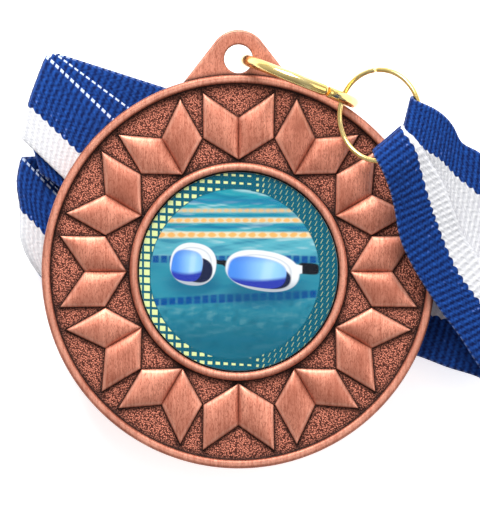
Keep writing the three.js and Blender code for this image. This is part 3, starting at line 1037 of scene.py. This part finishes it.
def back_strand():
    """The strand that leaves the same loop behind the front one, and opens out to the right."""
    outer = [
        (22.0, 22.2, 6.2), (22.1, 21.8, 7.6), (23.7, 21.1, 7.6), (24.9, 20.5, 7.2), (26.1, 19.6, 6.7),
        (27.1, 18.4, 6.1), (28.2, 16.4, 5.3), (30.6, 15.0, 4.4), (33.8, 11.8, 2.9), (36.3, 8.4, 0.7),
        (37.3, 6.2, -1.6), (37.3, 5.8, -3.1),
    ]
    edge = [
        (20.9, 18.0, 6.0), (21.3, 17.6, 7.5), (22.6, 16.2, 7.4), (23.8, 15.2, 6.9), (25.2, 14.4, 6.2),
        (26.3, 13.4, 5.5), (27.7, 12.0, 4.8), (30.0, 10.2, 3.8), (32.8, 6.8, 2.4), (35.2, 3.8, 0.4),
        (36.3, 2.2, -1.6), (36.4, 1.8, -3.1),
    ]
    inner = [
        (20.8, 17.4, 5.4), (21.4, 16.8, 6.6), (22.9, 14.8, 6.2), (24.0, 12.4, 5.4), (25.2, 9.8, 4.4),
        (26.2, 7.6, 3.6), (27.2, 5.2, 2.9), (28.7, 2.6, 2.3), (31.0, -0.2, 1.4), (33.6, -2.4, -0.2),
        (34.9, -3.2, -1.8), (35.0, -3.6, -3.4),
    ]
    lower = [
        (20.6, 16.6, 4.8), (21.5, 15.8, 5.6), (22.7, 12.6, 4.9), (23.4, 9.6, 3.7), (24.2, 6.4, 2.7),
        (24.8, 3.6, 2.0), (25.5, 0.8, 1.7), (26.8, -2.0, 1.3), (29.2, -4.8, 0.8), (31.6, -7.4, -0.9),
        (32.9, -8.4, -2.2), (33.0, -8.8, -3.6),
    ]
    places = (-RIBBON_HALF, -STRIPE_EDGE, STRIPE_EDGE, RIBBON_HALF)
    return ribbon_run("strand_back", list(zip(places, (outer, edge, inner, lower))), side=0.28)


def returning_layers():
    """The two strands' stretches from the bend at the right back under the disc."""
    runs = []
    bottom = [
        (33.0, -15.2, -2.7), (33.5, -15.3, -3.3), (33.0, -15.0, -4.0), (30.6, -13.5, -4.2),
        (26.6, -12.2, -4.3), (22.9, -10.8, -4.3), (18, -9.4, -4.4), (10, -6.6, -4.6), (-6, -1.4, -5.2),
        (-18, 2.4, -6.2),
    ]
    top = [
        (37.5, 5.2, -2.6), (38.0, 4.9, -3.3), (37.4, 4.8, -4.1), (34.8, 4.2, -4.3), (31.2, 4.2, -4.4),
        (27.8, 5.0, -4.4), (23.0, 6.2, -4.5), (15, 8.4, -4.7), (-1, 13.8, -5.3), (-13, 17.6, -6.3),
    ]
    for k in range(2):
        sink = np.array([(-0.6 * k, 0.6 * k, -1.1 * k)])
        rails = [(-RIBBON_HALF, np.array(bottom) + sink), (RIBBON_HALF, np.array(top) + sink)]
        runs.append(ribbon_run(f"return_{k}", rails, fine=0.2))
    return runs


def hidden_layers():
    """The rest of the ribbon's length: loops folded flat in the middle of the winding, under the disc."""
    runs = []
    for k in range(2):
        low_z, high_z = -7.55 + 0.1 * k, -6.9 + 0.1 * k
        run_by = np.array((34.0, -4.0 - 1.5 * k))
        length = np.linalg.norm(run_by)
        way = run_by / length
        steps = (
            (0, low_z), (12, low_z), (length - 1.2, low_z), (length, (low_z + high_z) / 2),
            (length - 1.2, high_z), (12, high_z), (0, high_z),
        )
        rails = []
        for place, start in ((-RIBBON_HALF, (-15.0, -5.5)), (RIBBON_HALF, (-12.5, 10.3))):
            rails.append((place, [out_from(np.array(start), way, step, z) for step, z in steps]))
        runs.append(ribbon_run(f"hidden_{k}", rails, fine=0.6, ribs=0.0))
    return runs


def ribbon(material):
    upper = [
        (RIBBON_HALF, (-24.3, 27.5)), (6.2, (-25.5, 24.4)), (STRIPE_EDGE, (-26.6, 21.2)),
        (-2.1, (-27.3, 16.7)), (-RIBBON_HALF, (-25.6, 19.6)),
    ]
    upper_inner = [
        (RIBBON_HALF, (-23.4, 27.9)), (STRIPE_EDGE, (-25.6, 22.2)), (-STRIPE_EDGE, (-26.2, 17.5)),
        (-RIBBON_HALF, (-25.0, 12.4)),
    ]
    lower = [
        (RIBBON_HALF, (-27.5, 14.6)), (5.6, (-28.1, 11.4)), (STRIPE_EDGE, (-27.6, 8.0)),
        (0.0, (-27.6, 4.0)), (-STRIPE_EDGE, (-25.4, -0.1)), (-RIBBON_HALF, (-20.6, -4.6)),
    ]
    lower_inner = [
        (RIBBON_HALF, (-25.6, 13.0)), (STRIPE_EDGE, (-26.0, 8.2)), (-STRIPE_EDGE, (-25.2, 2.0)),
        (-RIBBON_HALF, (-20.4, -3.0)),
    ]
    # The ways back and front, the lower and upper level, and how far each layer reaches from the bend
    runs = [
        winding("upper_outer", upper, (0.952, -0.305), (0.724, -0.690), -6.0, -2.95, TURN_ALONG, 40, 0.75),
        winding("upper_inner", upper_inner, (0.952, -0.305), (0.803, -0.596), -5.3, -3.75, TURN_ALONG, 40),
        winding("lower_outer", lower, (0.93, 0.05), (0.68, -0.733), -8.45, -5.6, 30, 24),
        winding("lower_inner", lower_inner, (0.96, 0.10), (0.72, -0.69), -7.8, -6.5, 30, 24),
        front_strand(),
        back_strand(),
    ]
    runs += returning_layers() + hidden_layers()
    obj = join(runs, "neck_ribbon")
    obj.data.materials.clear()
    obj.data.materials.append(material)
    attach(obj, "ribbon")
    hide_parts("ribbon_windings", "ribbon_strand_front", "ribbon_strand_back")


# Scene round the object

# The sky's strength towards -Y and towards +Y
WORLD_LOW = 0.22
WORLD_HIGH = 0.84

# Each light's place in metres, its size and its power
LIGHTS = (
    ("key", (-0.07, 0.40, 0.34), 0.30, 3.25),
    ("fill", (0.36, -0.02, 0.36), 0.32, 0.55),
    ("low", (0.02, -0.42, 0.26), 0.26, 0.06),
)

FLOOR_HALF = 600
FLOOR_Z = TABLE_Z - 0.05

# The view's height and middle, in millimetres, and the camera's height in metres
VIEW_TALL = 64.97
VIEW_MIDDLE = (0.19, 1.97)
CAMERA_HEIGHT = 1.5


def studio():
    signs = ((-1, -1), (1, -1), (1, 1), (-1, 1))
    corners = [(FLOOR_HALF * a, FLOOR_HALF * b, FLOOR_Z) for a, b in signs]
    floor = mesh_object("floor", corners, [(0, 1, 2, 3)], smooth=False)
    m = Nodes("pale_floor", Roughness=0.9)
    m.fix("Base Color", (0.93, 0.93, 0.93, 1))
    m.fix("Emission Color", (1, 1, 1, 1))
    m.fix("Emission Strength", 0.60)
    floor.data.materials.append(m.mat)
    world = bpy.data.worlds.new("studio")
    bpy.context.scene.world = world
    world.use_nodes = True
    nodes, links = world.node_tree.nodes, world.node_tree.links
    nodes["Background"].inputs[0].default_value = (0.96, 0.98, 1.0, 1)
    where = nodes.new("ShaderNodeSeparateXYZ")
    links.new(nodes.new("ShaderNodeTexCoord").outputs["Generated"], where.inputs[0])
    level = nodes.new("ShaderNodeMapRange")
    for socket, value in zip(level.inputs[1:5], (-0.9, 0.9, WORLD_LOW, WORLD_HIGH)):
        socket.default_value = value
    links.new(where.outputs[1], level.inputs[0])
    links.new(level.outputs[0], nodes["Background"].inputs[1])
    for name, place, size, power in LIGHTS:
        data = bpy.data.lights.new(name, "AREA")
        data.size = size
        data.energy = power
        light = bpy.data.objects.new(name, data)
        light.location = place
        light.rotation_euler = (-Vector(place)).to_track_quat("-Z", "Y").to_euler()
        bpy.context.collection.objects.link(light)
    bpy.context.scene.view_settings.view_transform = "Standard"


def camera():
    """Straight above the disc: the view is 61 by 65 mm."""
    data = bpy.data.cameras.new("view")
    data.sensor_width = 36
    data.lens = data.sensor_width * CAMERA_HEIGHT / (VIEW_TALL * MM)
    data.clip_start = 0.01
    data.clip_end = 10
    obj = bpy.data.objects.new("view", data)
    obj.location = (VIEW_MIDDLE[0] * MM, VIEW_MIDDLE[1] * MM, CAMERA_HEIGHT)
    bpy.context.collection.objects.link(obj)
    bpy.context.scene.camera = obj


camera()
studio()
gold = gold_material()
medal_body(copper_material())
printed_centre(print_material())
jump_ring(gold)
ribbon_ring(gold)
ribbon(ribbon_material())
for node, material in (("clear_film", film_material()), ("insert_adhesive", glue_material())):
    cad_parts[node].data.materials.clear()
    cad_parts[node].data.materials.append(material)
